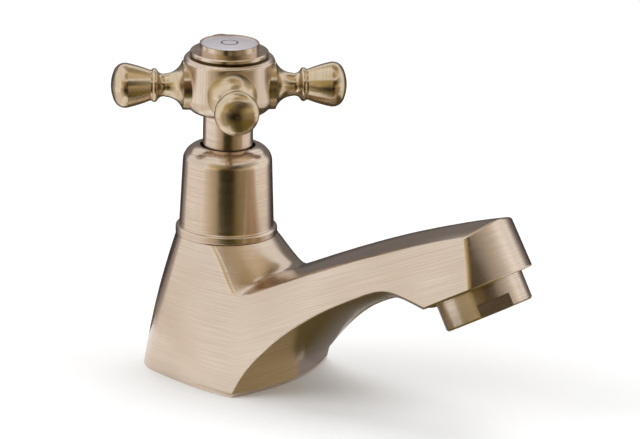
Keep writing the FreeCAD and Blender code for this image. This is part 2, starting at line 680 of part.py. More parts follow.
def handle_screw():
    shank = cylinder(SCREW_RADIUS, HUB_FLOOR_TOP - SCREW_LENGTH, HUB_FLOOR_TOP)
    head = cylinder(SCREW_HEAD_RADIUS, HUB_FLOOR_TOP, HUB_FLOOR_TOP + SCREW_HEAD_HEIGHT)
    top = HUB_FLOOR_TOP + SCREW_HEAD_HEIGHT
    return shank.fuse(head).cut(hexagon(SCREW_SOCKET_FLATS, top - 2, top + 1))


# ---------------------------------------------------------------- index button

FLANGE_FACE = HUB_TOP + INDEX_FLANGE_HEIGHT
INDEX_RING_TOP = FLANGE_FACE + INDEX_RING_HEIGHT
DISC_SEAT = FLANGE_FACE - 0.5
INDEX_GROOVE_RADIUS = INDEX_STEM_RADIUS - 1.05
INDEX_O_RING_HEIGHT = HUB_TOP - 2.1


def index_ring():
    shape = turned([
        (INDEX_RING_RADIUS - 0.8, INDEX_SEAT), (INDEX_STEM_RADIUS, INDEX_SEAT), (INDEX_STEM_RADIUS, HUB_TOP),
        (INDEX_FLANGE_RADIUS, HUB_TOP), (INDEX_FLANGE_RADIUS, FLANGE_FACE - 0.3),
        (INDEX_FLANGE_RADIUS - 0.3, FLANGE_FACE), (INDEX_RING_RADIUS, FLANGE_FACE),
        (INDEX_RING_RADIUS, INDEX_RING_TOP), (INDEX_DISC_RADIUS, INDEX_RING_TOP), (INDEX_DISC_RADIUS, DISC_SEAT),
        (0, DISC_SEAT), (0, DISC_SEAT - 1.5), (INDEX_RING_RADIUS - 0.8, DISC_SEAT - 1.5),
    ])
    groove = ring(INDEX_GROOVE_RADIUS, INDEX_STEM_RADIUS + 1, INDEX_O_RING_HEIGHT - 0.6, INDEX_O_RING_HEIGHT + 0.6)
    return shape.cut(groove)


def index_disc():
    radius = INDEX_DISC_RADIUS
    rim = INDEX_RING_TOP - 0.3
    return turned([(0, DISC_SEAT), (radius, DISC_SEAT), (radius, rim), domed(radius, rim, rim + INDEX_DISC_DOME)])


# ---------------------------------------------------------------- aerator

AERATOR_BORE = AERATOR_THREAD_RADIUS - AERATOR_WALL
MESH_LOW = 1.0 - AERATOR_HEIGHT
INSERT_LOW = MESH_LOW + MESH_THICKNESS


def aerator_shell():
    rim = AERATOR_RIM_CHAMFER
    shape = turned([
        (AERATOR_BORE, AERATOR_THREAD_LENGTH), (AERATOR_THREAD_RADIUS, AERATOR_THREAD_LENGTH),
        (AERATOR_THREAD_RADIUS, 0), (AERATOR_RADIUS, 0), (AERATOR_RADIUS, rim - AERATOR_HEIGHT),
        (AERATOR_RADIUS - rim, -AERATOR_HEIGHT), (AERATOR_BORE - 0.6, -AERATOR_HEIGHT),
        (AERATOR_BORE - 0.6, MESH_LOW), (AERATOR_BORE, MESH_LOW),
    ])
    flat = math.sqrt(AERATOR_RADIUS ** 2 - (AERATOR_FLAT_WIDTH / 2) ** 2)
    for turn in (0, 180):
        block = Part.makeBox(5, REACH, AERATOR_FLAT_HEIGHT + 1, Vector(flat, -REACH / 2, -AERATOR_HEIGHT - 1))
        block.rotate(Vector(0, 0, 0), AXIS_Z, turn - AERATOR_FLAT_TURN_DEG)
        shape = shape.cut(block)
    return in_nose(shape)


def aerator_insert():
    tube = ring(AERATOR_BORE - 1.6, AERATOR_BORE, INSERT_LOW, AERATOR_THREAD_LENGTH)
    plate = cylinder(AERATOR_BORE - 1.0, 1.0, 2.4)
    for turn in range(8):
        angle = math.radians(45 * turn)
        hole = cylinder(0.9, 0, 4)
        hole.translate(Vector(5 * math.cos(angle), 5 * math.sin(angle), 0))
        plate = plate.cut(hole)
    return in_nose(tube.fuse(plate))


def aerator_mesh():
    disc = cylinder(AERATOR_BORE, MESH_LOW, INSERT_LOW)
    holes = []
    for row in range(-MESH_RINGS, MESH_RINGS + 1):
        count = 2 * MESH_RINGS + 1 - abs(row)
        for place in range(count):
            hole = cylinder(MESH_HOLE_RADIUS, MESH_LOW - 1, INSERT_LOW + 1)
            x = (place - (count - 1) / 2) * MESH_PITCH
            hole.translate(Vector(x, row * MESH_PITCH * math.sin(math.radians(60)), 0))
            holes.append(hole)
    return in_nose(disc.cut(Part.makeCompound(holes)))


# ---------------------------------------------------------------- all pieces

os.makedirs("parts", exist_ok=True)

save("tap_body", tap_body())
save("threaded_tail", threaded_tail())
save("base_gasket", ring(TAIL_RADIUS + CLAMP_CLEARANCE, GASKET_RADIUS, 0, GASKET_THICKNESS))
save("rubber_washer", ring(TAIL_RADIUS + CLAMP_CLEARANCE, WASHER_RADIUS, STEEL_TOP, RUBBER_TOP))
save("clamp_washer", ring(TAIL_RADIUS + CLAMP_CLEARANCE, WASHER_RADIUS, NUT_TOP, STEEL_TOP))
save("backnut", backnut())

save("seat_seal", ring(SEAT_HOLE_RADIUS + 0.2, SEAT_SEAL_RADIUS, SEAT_HEIGHT, FIXED_DISC_LOW))
save("fixed_ceramic_disc", ceramic_disc(VALVE_BARREL_BORE, FIXED_DISC_LOW, 0))
save("moving_ceramic_disc", moving_ceramic_disc())
save("valve_bonnet", valve_bonnet())
save("bonnet_washer", ring(CHAMBER_RADIUS, VALVE_FLANGE_RADIUS, TOWER_HEIGHT, FLANGE_LOW))
save("spindle", spindle())
save("friction_washer", ring(SPINDLE_RADIUS, SPINDLE_HEAD_RADIUS, HEAD_TOP, FRICTION_TOP))
save("spindle_o_rings", spindle_o_rings())
save("spindle_circlip", spindle_circlip())
save("shroud", shroud())
save("shroud_seal", ring(
    SHROUD_SEAL_INNER, SHROUD_SEAL_OUTER, TOWER_HEIGHT, TOWER_HEIGHT + SHROUD_SEAL_THICKNESS))

save("stem_sleeve", ring(BUSH_RADIUS, SLEEVE_RADIUS, SLEEVE_BOTTOM, HUB_BOTTOM))
save("spline_bush", ring(SPLINE_RADIUS, BUSH_RADIUS, SLEEVE_BOTTOM, SPINDLE_TOP))
save("handle_hub", handle_hub())
for arm_index in range(ARM_COUNT):
    save("handle_arm_" + str(arm_index + 1), handle_arm(arm_index))
save("handle_screw", handle_screw())
save("index_ring", index_ring())
save("index_o_ring", seal_ring(INDEX_STEM_RADIUS - 0.52, 0.5, INDEX_O_RING_HEIGHT))
save("index_disc", index_disc())

save("aerator_shell", aerator_shell())
save("aerator_washer", in_nose(ring(
    PLENUM_RADIUS, AERATOR_THREAD_RADIUS, AERATOR_THREAD_LENGTH,
    AERATOR_THREAD_LENGTH + AERATOR_WASHER_THICKNESS)))
save("aerator_insert", aerator_insert())
save("aerator_mesh", aerator_mesh())
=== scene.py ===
import json
import math

import bmesh
import bpy
from mathutils import Matrix, Vector


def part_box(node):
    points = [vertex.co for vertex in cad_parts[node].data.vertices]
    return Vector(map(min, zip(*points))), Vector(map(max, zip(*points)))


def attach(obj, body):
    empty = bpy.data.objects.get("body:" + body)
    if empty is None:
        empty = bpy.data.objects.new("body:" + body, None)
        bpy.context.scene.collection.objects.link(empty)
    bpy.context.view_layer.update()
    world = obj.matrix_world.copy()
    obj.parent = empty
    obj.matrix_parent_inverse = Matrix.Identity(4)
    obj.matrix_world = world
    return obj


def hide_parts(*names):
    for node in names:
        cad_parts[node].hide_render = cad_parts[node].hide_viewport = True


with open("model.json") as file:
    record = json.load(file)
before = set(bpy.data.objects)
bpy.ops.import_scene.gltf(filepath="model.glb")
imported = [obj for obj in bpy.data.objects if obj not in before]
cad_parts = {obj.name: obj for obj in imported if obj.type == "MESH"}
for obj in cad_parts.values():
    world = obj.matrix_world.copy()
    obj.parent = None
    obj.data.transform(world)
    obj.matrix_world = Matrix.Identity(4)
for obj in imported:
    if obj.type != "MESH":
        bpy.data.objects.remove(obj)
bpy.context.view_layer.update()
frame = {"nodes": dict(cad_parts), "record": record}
NODES = frame["nodes"]

bl_info = {
    "name": "Cross handle basin tap",
    "version": (1, 0, 0),
    "blender": (4, 5, 0),
    "location": "View3D > Sidebar > Tap",
    "description": "Dresses the parts of a basin tap in brushed antique brass, porcelain and rubber",
    "category": "Object",
}

MM = 0.001

# ---------------------------------------------------------------- places read from the frame

TAIL_LOW, TAIL_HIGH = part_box("threaded_tail")
TAIL_RADIUS = TAIL_HIGH.x
INLET = next(mount for mount in frame["record"]["mounts"] if mount["name"] == "inlet")
TAIL_BORE_RADIUS = INLET["dims"]["r_mm"] * MM
GASKET_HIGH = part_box("base_gasket")[1]
SHELL_LOW, SHELL_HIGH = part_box("aerator_shell")
SHELL_CENTRE = (SHELL_LOW + SHELL_HIGH) / 2
HUB_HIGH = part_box("handle_hub")[1]

# ---------------------------------------------------------------- small tools


def linear(hex_colour):
    """The sRGB hex colour as linear red, green, blue and full alpha."""
    channels = []
    for place in (0, 2, 4):
        value = int(hex_colour[place:place + 2], 16) / 255
        channels.append(value / 12.92 if value <= 0.04045 else ((value + 0.055) / 1.055) ** 2.4)
    return (*channels, 1.0)


def add(tree, kind, inputs=None, **settings):
    """Add one node.  Inputs are values or sockets, by the socket's name or number."""
    node = tree.nodes.new(kind)
    for name, value in settings.items():
        setattr(node, name, value)
    for name, value in (inputs or {}).items():
        socket = node.inputs[name]
        if isinstance(value, bpy.types.NodeSocket):
            tree.links.new(value, socket)
        else:
            socket.default_value = value
    return node


def new_material(name):
    """A material with an empty node tree."""
    material = bpy.data.materials.new(name)
    material.use_nodes = True
    material.node_tree.nodes.clear()
    return material


def finish_material(material, surface):
    """Link the surface to the material's output, and give the material back."""
    add(material.node_tree, "ShaderNodeOutputMaterial", {"Surface": surface})
    return material


def give(material, *names):
    """Put the material on these CAD nodes."""
    for name in names:
        slots = NODES[name].data.materials
        slots.clear()
        slots.append(material)


def new_piece(name, body, material):
    """An empty mesh object at the origin that rides on a body."""
    piece = bpy.data.objects.new(name, bpy.data.meshes.new(name))
    bpy.context.scene.collection.objects.link(piece)
    piece.data.materials.append(material)
    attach(piece, body)
    return piece


# ---------------------------------------------------------------- sizes and colours


class BrassFinish(bpy.types.PropertyGroup):
    """Antique brass: plated, brushed through to pale metal, and lacquered."""

    pale: bpy.props.StringProperty(
        name="Brushed tone", description="Colour of the brushed metal in a white room", default="DBCABA")
    deep: bpy.props.StringProperty(
        name="Patina tone", description="Colour that is left in the brush lines", default="C9B7A4")
    aged: bpy.props.StringProperty(
        name="Aged tone", description="Yellower tone where less is brushed away", default="C7B380")
    patina: bpy.props.StringProperty(
        name="Patina", description="Dark tone that stays in a seam", default="4A3A22")
    roughness: bpy.props.FloatProperty(
        name="Roughness", description="Spread of reflections", default=0.22, min=0.0, max=1.0)
    brush_length: bpy.props.FloatProperty(
        name="Brush mark length", description="Length of one brush mark", default=18 * MM, unit="LENGTH")
    # Real brush lines are some hundredths of a millimetre wide.  They are drawn as wide as one
    # pixel of the picture, so that they show.
    brush_width: bpy.props.FloatProperty(
        name="Brush mark width", description="Width of one brush mark", default=0.25 * MM, unit="LENGTH")
    brush_depth: bpy.props.FloatProperty(
        name="Brush mark depth", description="Depth of one brush mark", default=0.001 * MM, unit="LENGTH")


class ThreadSizes(bpy.types.PropertyGroup):
    """The half-inch pipe thread on the tail."""

    pitch: bpy.props.FloatProperty(
        name="Pitch", description="Rise of the thread in one turn", default=1.814 * MM, unit="LENGTH")
    depth: bpy.props.FloatProperty(
        name="Depth", description="Crest to root of the thread", default=1.162 * MM, unit="LENGTH")
    steps: bpy.props.IntProperty(
        name="Steps", description="Steps in one turn of the thread", default=48, min=12, max=96)


class StageSizes(bpy.types.PropertyGroup):
    """Floor and camera."""

    azimuth: bpy.props.FloatProperty(
        name="Camera azimuth", description="Turn of the camera from the front",
        default=math.radians(33.5), subtype="ANGLE")
    elevation: bpy.props.FloatProperty(
        name="Camera elevation", description="Height of the camera",
        default=math.radians(16.6), subtype="ANGLE")
    roll: bpy.props.FloatProperty(
        name="Camera roll", description="Lean of the picture", default=0.0186, subtype="ANGLE")
    distance: bpy.props.FloatProperty(
        name="Camera distance", description="Camera to the object's middle", default=5.0, unit="LENGTH")
    pixels_per_mm: bpy.props.FloatProperty(
        name="Picture scale", description="Pixels of the picture to one millimetre", default=3.70)
    aim: bpy.props.FloatVectorProperty(
        name="Aim", description="Point at the middle of the picture",
        default=(30.4 * MM, 0.0, 47.0 * MM), subtype="XYZ")
    floor_radius: bpy.props.FloatProperty(
        name="Floor radius", description="Radius of the round floor", default=3.0, unit="LENGTH")


# ---------------------------------------------------------------- materials

SPOUT_START = 18 * MM        # the brush follows the spout's rise from here
SPOUT_SLOPE = 0.42
NOSE_RISE = math.radians(28.1)
LEVEL_FACE = (0.6, 0.8)      # upright share of a face's normal, where level brush marks take over
PATCH = 22 * MM              # size of the slow change of tone
TONE_SPAN = (0.08, 0.42)     # noise that gives the deep and the pale tone
MARK_SPAN = (0.3, 0.7)       # noise that gives the roughest and the smoothest mark
ROUGHNESS_SPREAD = 0.04      # how far a mark's roughness departs from the finish's own
BRUSHED_ANISOTROPY = 0.5
FLANGE_SEAM = (HUB_HIGH.z - 0.5 * MM, HUB_HIGH.z + 0.7 * MM)
SEAM_FADE = (0.35, 0.5)      # shares of a seam's height between which its patina ends


def brush_marks(tree, finish, lay):
    """Noise drawn out along the brush's path, and the way across that path.

    lay gives the path on this piece: along the spout, round the upright axis, down the hub,
    round each arm's own axis, or round the outlet's tilted one."""
    place = add(tree, "ShaderNodeTexCoord").outputs["Object"]
    if lay == "outlet":
        for shift, turn in ((-SHELL_CENTRE, 0.0), (Vector(), NOSE_RISE)):
            place = add(tree, "ShaderNodeMapping", {
                "Vector": place, "Location": shift, "Rotation": (0.0, turn, 0.0)}).outputs["Vector"]
    axes = add(tree, "ShaderNodeSeparateXYZ", {"Vector": place})
    x, y, z = axes.outputs["X"], axes.outputs["Y"], axes.outputs["Z"]
    around = add(tree, "ShaderNodeMath", {0: y, 1: x}, operation="ARCTAN2").outputs["Value"]
    around = add(tree, "ShaderNodeMath", {0: around, 1: HUB_HIGH.x}, operation="MULTIPLY").outputs["Value"]
    level = add(tree, "ShaderNodeCombineXYZ", {"X": x, "Y": y}).outputs["Vector"]
    outward = add(tree, "ShaderNodeVectorMath", {0: level}, operation="LENGTH").outputs["Value"]
    upward = add(tree, "ShaderNodeCombineXYZ", {"Z": 1.0}).outputs["Vector"]
    fine, coarse = 1 / finish.brush_width, 1 / finish.brush_length
    if lay == "spout":
        past = add(tree, "ShaderNodeMath", {0: x, 1: SPOUT_START}, operation="SUBTRACT").outputs["Value"]
        past = add(tree, "ShaderNodeMath", {0: past, 1: 0.0}, operation="MAXIMUM").outputs["Value"]
        rise = add(tree, "ShaderNodeMath", {0: past, 1: SPOUT_SLOPE}, operation="MULTIPLY").outputs["Value"]
        above = add(tree, "ShaderNodeMath", {0: z, 1: rise}, operation="SUBTRACT").outputs["Value"]
        parts, across = ((x, coarse), (y, coarse), (above, fine)), upward
    elif lay == "hub":
        parts = ((around, fine), (outward, coarse), (z, coarse))
        across = add(tree, "ShaderNodeVectorMath", {
            0: level, 1: upward}, operation="CROSS_PRODUCT").outputs["Vector"]
    elif lay == "arms":
        parts, across = ((outward, fine), (z, coarse), (around, coarse)), level
    else:
        parts, across = ((around, coarse), (outward, coarse), (z, fine)), upward
    stretched = [
        add(tree, "ShaderNodeMath", {0: socket, 1: factor}, operation="MULTIPLY").outputs["Value"]
        for socket, factor in parts
    ]
    vector = add(tree, "ShaderNodeCombineXYZ", dict(enumerate(stretched))).outputs["Vector"]
    marks = add(tree, "ShaderNodeTexNoise", {
        "Vector": vector, "Scale": 1.0, "Detail": 1.0, "Roughness": 0.5}).outputs["Fac"]
    if lay == "spout":
        # Marks told apart by height run into contours on a level face, so its marks are told
        # apart by their distance from the middle of the spout.
        sideways = add(tree, "ShaderNodeVectorMath", {
            0: place, 1: (coarse, fine, coarse)}, operation="MULTIPLY").outputs["Vector"]
        level_marks = add(tree, "ShaderNodeTexNoise", {
            "Vector": sideways, "Scale": 1.0, "Detail": 1.0, "Roughness": 0.5}).outputs["Fac"]
        facing = add(tree, "ShaderNodeNewGeometry").outputs["Normal"]
        facing_up = add(tree, "ShaderNodeSeparateXYZ", {"Vector": facing}).outputs["Z"]
        facing_up = add(tree, "ShaderNodeMath", {0: facing_up}, operation="ABSOLUTE").outputs["Value"]
        share = add(tree, "ShaderNodeMapRange", {
            "Value": facing_up, "From Min": LEVEL_FACE[0], "From Max": LEVEL_FACE[1]}).outputs["Result"]
        marks = add(tree, "ShaderNodeMix", {
            "Factor": share, 2: marks, 3: level_marks}, data_type="FLOAT").outputs[0]
    across = add(tree, "ShaderNodeVectorTransform", {"Vector": across}, vector_type="VECTOR",
                 convert_from="OBJECT", convert_to="WORLD").outputs["Vector"]
    return marks, across


def aged(colour, finish, age):
    """The linear colour, drawn towards the aged tone by age, from 0 to 1."""
    return [new * (1 - age) + old * age for new, old in zip(linear(colour), linear(finish.aged))]


def brushed_antique_brass(name, lay, age=0.0, seam=None):
    """Antique brass plating, brushed and lacquered: pale in the light, olive brown in the dark.

    seam is a (low, high) band of height where the brush never reaches and the dark patina stays."""
    finish = bpy.context.scene.tap_brass
    material = new_material(name)
    tree = material.node_tree
    marks, across = brush_marks(tree, finish, lay)
    place = add(tree, "ShaderNodeTexCoord").outputs["Object"]
    patches = add(tree, "ShaderNodeTexNoise", {
        "Vector": place, "Scale": 1 / PATCH, "Detail": 1.0}).outputs["Fac"]
    tone = add(tree, "ShaderNodeMath", {0: marks, 1: patches}, operation="MULTIPLY").outputs["Value"]
    tone = add(tree, "ShaderNodeMapRange", {
        "Value": tone, "From Min": TONE_SPAN[0], "From Max": TONE_SPAN[1]}).outputs["Result"]
    colour = add(tree, "ShaderNodeMix", {
        "Factor": tone, 6: aged(finish.deep, finish, age), 7: aged(finish.pale, finish, age)},
        data_type="RGBA").outputs[2]
    if seam:
        low, high = seam
        height = add(tree, "ShaderNodeSeparateXYZ", {"Vector": place}).outputs["Z"]
        off_seam = add(tree, "ShaderNodeMath", {
            0: height, 1: (low + high) / 2}, operation="SUBTRACT").outputs["Value"]
        off_seam = add(tree, "ShaderNodeMath", {0: off_seam}, operation="ABSOLUTE").outputs["Value"]
        inside = add(tree, "ShaderNodeMapRange", {
            "Value": off_seam, "To Min": 1.0, "To Max": 0.0,
            "From Min": (high - low) * SEAM_FADE[0],
            "From Max": (high - low) * SEAM_FADE[1]}).outputs["Result"]
        colour = add(tree, "ShaderNodeMix", {
            "Factor": inside, 6: colour, 7: linear(finish.patina)}, data_type="RGBA").outputs[2]
    rough = add(tree, "ShaderNodeMapRange", {
        "Value": marks, "From Min": MARK_SPAN[0], "From Max": MARK_SPAN[1],
        "To Min": finish.roughness + ROUGHNESS_SPREAD,
        "To Max": finish.roughness - ROUGHNESS_SPREAD}).outputs["Result"]
    bump = add(tree, "ShaderNodeBump", {
        "Height": marks, "Strength": 1.0, "Distance": finish.brush_depth}).outputs["Normal"]
    shader = add(tree, "ShaderNodeBsdfPrincipled", {
        "Base Color": colour, "Metallic": 1.0, "Roughness": rough, "Anisotropic": BRUSHED_ANISOTROPY,
        "Tangent": across, "Normal": bump})
    return finish_material(material, shader.outputs["BSDF"])


GRAIN_DEPTH = 0.01 * MM


def grained(name, low, high, grain, roughness, metallic=0.0, coat=0.0):
    """A plain material with a fine grain between two colours.

    Real tool marks and moulding grain are hundredths of a millimetre wide.  Each is drawn at
    some tenths, so that it shows."""
    material = new_material(name)
    tree = material.node_tree
    place = add(tree, "ShaderNodeTexCoord").outputs["Object"]
    noise = add(tree, "ShaderNodeTexNoise", {
        "Vector": place, "Scale": 1 / grain, "Detail": 3.0}).outputs["Fac"]
    colour = add(tree, "ShaderNodeMix", {
        "Factor": noise, 6: linear(low), 7: linear(high)}, data_type="RGBA").outputs[2]
    bump = add(tree, "ShaderNodeBump", {"Height": noise, "Distance": GRAIN_DEPTH}).outputs["Normal"]
    shader = add(tree, "ShaderNodeBsdfPrincipled", {
        "Base Color": colour, "Metallic": metallic, "Roughness": roughness, "Coat Weight": coat,
        "Coat Roughness": 0.05, "Normal": bump})
    return finish_material(material, shader.outputs["BSDF"])


MARK_RADIUS = 2.2 * MM
MARK_WIDTH = 0.45 * MM
MARK_FADE = (0.4, 0.6)       # shares of the line's width between which its ink ends
GLAZE_CLOUD = 4 * MM         # size of the glaze's faint clouds


def glazed_porcelain():
    """Pressed porcelain, glazed and fired: a hard clear gloss over a cool, faintly clouded white.

    One thin printed ring stands where such taps carry their mark."""
    material = new_material("glazed porcelain")
    tree = material.node_tree
    place = add(tree, "ShaderNodeTexCoord").outputs["Object"]
    axes = add(tree, "ShaderNodeSeparateXYZ", {"Vector": place}).outputs
    flat = add(tree, "ShaderNodeCombineXYZ", {"X": axes["X"], "Y": axes["Y"]}).outputs["Vector"]
    radius = add(tree, "ShaderNodeVectorMath", {0: flat}, operation="LENGTH").outputs["Value"]
    off_line = add(tree, "ShaderNodeMath", {0: radius, 1: MARK_RADIUS}, operation="SUBTRACT").outputs["Value"]
    off_line = add(tree, "ShaderNodeMath", {0: off_line}, operation="ABSOLUTE").outputs["Value"]
    ink = add(tree, "ShaderNodeMapRange", {
        "Value": off_line, "From Min": MARK_WIDTH * MARK_FADE[0], "From Max": MARK_WIDTH * MARK_FADE[1],
        "To Min": 1.0, "To Max": 0.0}).outputs["Result"]
    cloud = add(tree, "ShaderNodeTexNoise", {
        "Vector": place, "Scale": 1 / GLAZE_CLOUD, "Detail": 2.0}).outputs["Fac"]
    white = add(tree, "ShaderNodeMix", {
        "Factor": cloud, 6: linear("BAB3B9"), 7: linear("C3BDC2")}, data_type="RGBA").outputs[2]
    colour = add(tree, "ShaderNodeMix", {
        "Factor": ink, 6: white, 7: linear("2A2F4A")}, data_type="RGBA").outputs[2]
    shader = add(tree, "ShaderNodeBsdfPrincipled", {
        "Base Color": colour, "Roughness": 0.25, "Coat Weight": 1.0, "Coat Roughness": 0.04})
    return finish_material(material, shader.outputs["BSDF"])


# ---------------------------------------------------------------- threaded tail

RIDGE_FOOT = 0.47            # half the ridge's width at its foot, as a share of the pitch
RIDGE_TOP = 0.12             # half its width at the crest, as a share of that at the foot

# What the tree works out from its inputs: name, operation, first and second value.
THREAD_SUMS = (
    ("Length", "SUBTRACT", "High", "Low"),
    ("Turns", "DIVIDE", "Length", "Pitch"),
    ("Root Radius", "SUBTRACT", "Radius", "Depth"),
    ("Half Pitch", "MULTIPLY", "Pitch", 0.5),
    ("Winding Turns", "SUBTRACT", "Turns", 1.0),
    ("Winding Height", "SUBTRACT", "Length", "Pitch"),
    ("Winding Start", "ADD", "Low", "Half Pitch"),
    ("Crest", "MULTIPLY", "Depth", -1.0),
    ("Foot", "MULTIPLY", "Pitch", RIDGE_FOOT),
    ("Low Foot", "MULTIPLY", "Foot", -1.0),
    ("Top", "MULTIPLY", "Foot", RIDGE_TOP),
    ("Low Top", "MULTIPLY", "Foot", -RIDGE_TOP),
    ("Wall", "SUBTRACT", "Root Radius", "Bore Radius"),
    ("Radii", "ADD", "Root Radius", "Bore Radius"),
    ("Wall Radius", "MULTIPLY", "Radii", 0.5),
    ("Heights", "ADD", "High", "Low"),
    ("Middle Height", "MULTIPLY", "Heights", 0.5),
    ("Round Steps", "MULTIPLY", "Steps", 2.0),
)


def thread_tree(material):
    """Geometry nodes: a hollow shank with a thread wound round it."""
    tree = bpy.data.node_groups.new("threaded shank", "GeometryNodeTree")
    for name in ("Radius", "Bore Radius", "Low", "High", "Pitch", "Depth"):
        tree.interface.new_socket(name, in_out="INPUT", socket_type="NodeSocketFloat")
    tree.interface.new_socket("Steps", in_out="INPUT", socket_type="NodeSocketInt")
    tree.interface.new_socket("Geometry", in_out="OUTPUT", socket_type="NodeSocketGeometry")
    value = {socket.name: socket for socket in add(tree, "NodeGroupInput").outputs}
    for name, operation, first, second in THREAD_SUMS:
        value[name] = add(tree, "ShaderNodeMath", {
            0: value.get(first, first), 1: value.get(second, second)}, operation=operation).outputs["Value"]

    spiral = add(tree, "GeometryNodeCurveSpiral", {
        "Resolution": value["Steps"], "Rotations": value["Winding Turns"],
        "Start Radius": value["Root Radius"], "End Radius": value["Root Radius"],
        "Height": value["Winding Height"]}).outputs["Curve"]
    spiral = add(tree, "GeometryNodeSetPosition", {
        "Geometry": spiral,
        "Offset": add(tree, "ShaderNodeCombineXYZ", {
            "Z": value["Winding Start"]}).outputs["Vector"]}).outputs["Geometry"]
    spiral = add(tree, "GeometryNodeSetCurveNormal", {"Curve": spiral}, mode="Z_UP").outputs["Curve"]
    crest = value["Crest"]
    profile = ((0.0, "Low Foot"), (crest, "Low Top"), (crest, "Top"), (0.0, "Foot"))
    corners = {
        f"Point {number}": add(tree, "ShaderNodeCombineXYZ", {"X": out, "Y": value[along]}).outputs["Vector"]
        for number, (out, along) in enumerate(profile, start=1)
    }
    ridge = add(tree, "GeometryNodeCurvePrimitiveQuadrilateral", corners, mode="POINTS").outputs["Curve"]
    thread = add(tree, "GeometryNodeCurveToMesh", {
        "Curve": spiral, "Profile Curve": ridge, "Fill Caps": True}).outputs["Mesh"]

    loop = add(tree, "GeometryNodeCurvePrimitiveCircle", {
        "Resolution": value["Round Steps"], "Radius": value["Wall Radius"]}, mode="RADIUS").outputs["Curve"]
    section = add(tree, "GeometryNodeCurvePrimitiveQuadrilateral", {
        "Width": value["Wall"], "Height": value["Length"]}, mode="RECTANGLE").outputs["Curve"]
    shank = add(tree, "GeometryNodeCurveToMesh", {"Curve": loop, "Profile Curve": section}).outputs["Mesh"]
    shank = add(tree, "GeometryNodeSetPosition", {
        "Geometry": shank,
        "Offset": add(tree, "ShaderNodeCombineXYZ", {
            "Z": value["Middle Height"]}).outputs["Vector"]}).outputs["Geometry"]
    both = add(tree, "GeometryNodeJoinGeometry")
    tree.links.new(thread, both.inputs["Geometry"])
    tree.links.new(shank, both.inputs["Geometry"])
    real = add(tree, "GeometryNodeRealizeInstances", {"Geometry": both.outputs["Geometry"]})
    coated = add(tree, "GeometryNodeSetMaterial", {
        "Geometry": real.outputs["Geometry"], "Material": material})
    add(tree, "NodeGroupOutput", {"Geometry": coated.outputs["Geometry"]})
    return tree


def set_inputs(modifier, values):
    """Set the modifier's inputs by name, each through its socket's identifier."""
    for item in modifier.node_group.interface.items_tree:
        if item.in_out == "INPUT" and item.name in values:
            modifier[item.identifier] = values[item.name]


WELD = 0.001 * MM            # points nearer than this are one


def make_plain(piece):
    """Turn the piece's modifiers into its mesh, merged and facing outwards."""
    evaluated = piece.evaluated_get(bpy.context.evaluated_depsgraph_get())
    mesh = bpy.data.meshes.new_from_object(evaluated)
    piece.modifiers.clear()
    shape = bmesh.new()
    shape.from_mesh(mesh)
    bmesh.ops.remove_doubles(shape, verts=shape.verts, dist=WELD)
    bmesh.ops.recalc_face_normals(shape, faces=shape.faces)
    shape.to_mesh(mesh)
    shape.free()
    mesh.name = piece.name
    piece.data = mesh


# ---------------------------------------------------------------- operators


class TAP_OT_cast_body(bpy.types.Operator):
    """Brush the cast body along its spout"""

    bl_idname = "tap.cast_body"
    bl_label = "Cast body"

    def execute(self, context):
        give(brushed_antique_brass("brushed antique brass, cast body", "spout"), "tap_body")
        return {"FINISHED"}


class TAP_OT_turned_covers(bpy.types.Operator):
    """Brush the turned covers round their axis, and the hub along it"""

    bl_idname = "tap.turned_covers"
    bl_label = "Turned covers"

    def execute(self, context):
        give(brushed_antique_brass("brushed antique brass, turned", "turned"), "shroud", "stem_sleeve")
        ring = brushed_antique_brass("brushed antique brass, index ring", "turned", seam=FLANGE_SEAM)
        give(ring, "index_ring")
        give(brushed_antique_brass("brushed antique brass, hub", "hub"), "handle_hub")
        return {"FINISHED"}


class TAP_OT_cross_arms(bpy.types.Operator):
    """Brush the four arms of the cross round their own axes"""

    bl_idname = "tap.cross_arms"
    bl_label = "Cross arms"

    def execute(self, context):
        # The brush reaches less of the waists and beads, so more of the yellow tone is left.
        material = brushed_antique_brass("brushed antique brass, arms", "arms", age=0.35)
        give(material, *[name for name in NODES if name.startswith("handle_arm_")])
        return {"FINISHED"}


class TAP_OT_index_disc(bpy.types.Operator):
    """Glaze the index disc"""

    bl_idname = "tap.index_disc"
    bl_label = "Index disc"

    def execute(self, context):
        give(glazed_porcelain(), "index_disc")
        return {"FINISHED"}


class TAP_OT_outlet(bpy.types.Operator):
    """Finish the outlet: brushed shell, moulded insert and grille"""

    bl_idname = "tap.outlet"
    bl_label = "Outlet"

    def execute(self, context):
        give(brushed_antique_brass("brushed antique brass, outlet", "outlet"), "aerator_shell")
        # Injection moulded, natural colour: a waxy off-white with soft, wide highlights.
        acetal = grained("moulded acetal", "D4D4D0", "DEDEDA", 0.6 * MM, 0.45)
        give(acetal, "aerator_insert", "aerator_mesh")
        return {"FINISHED"}


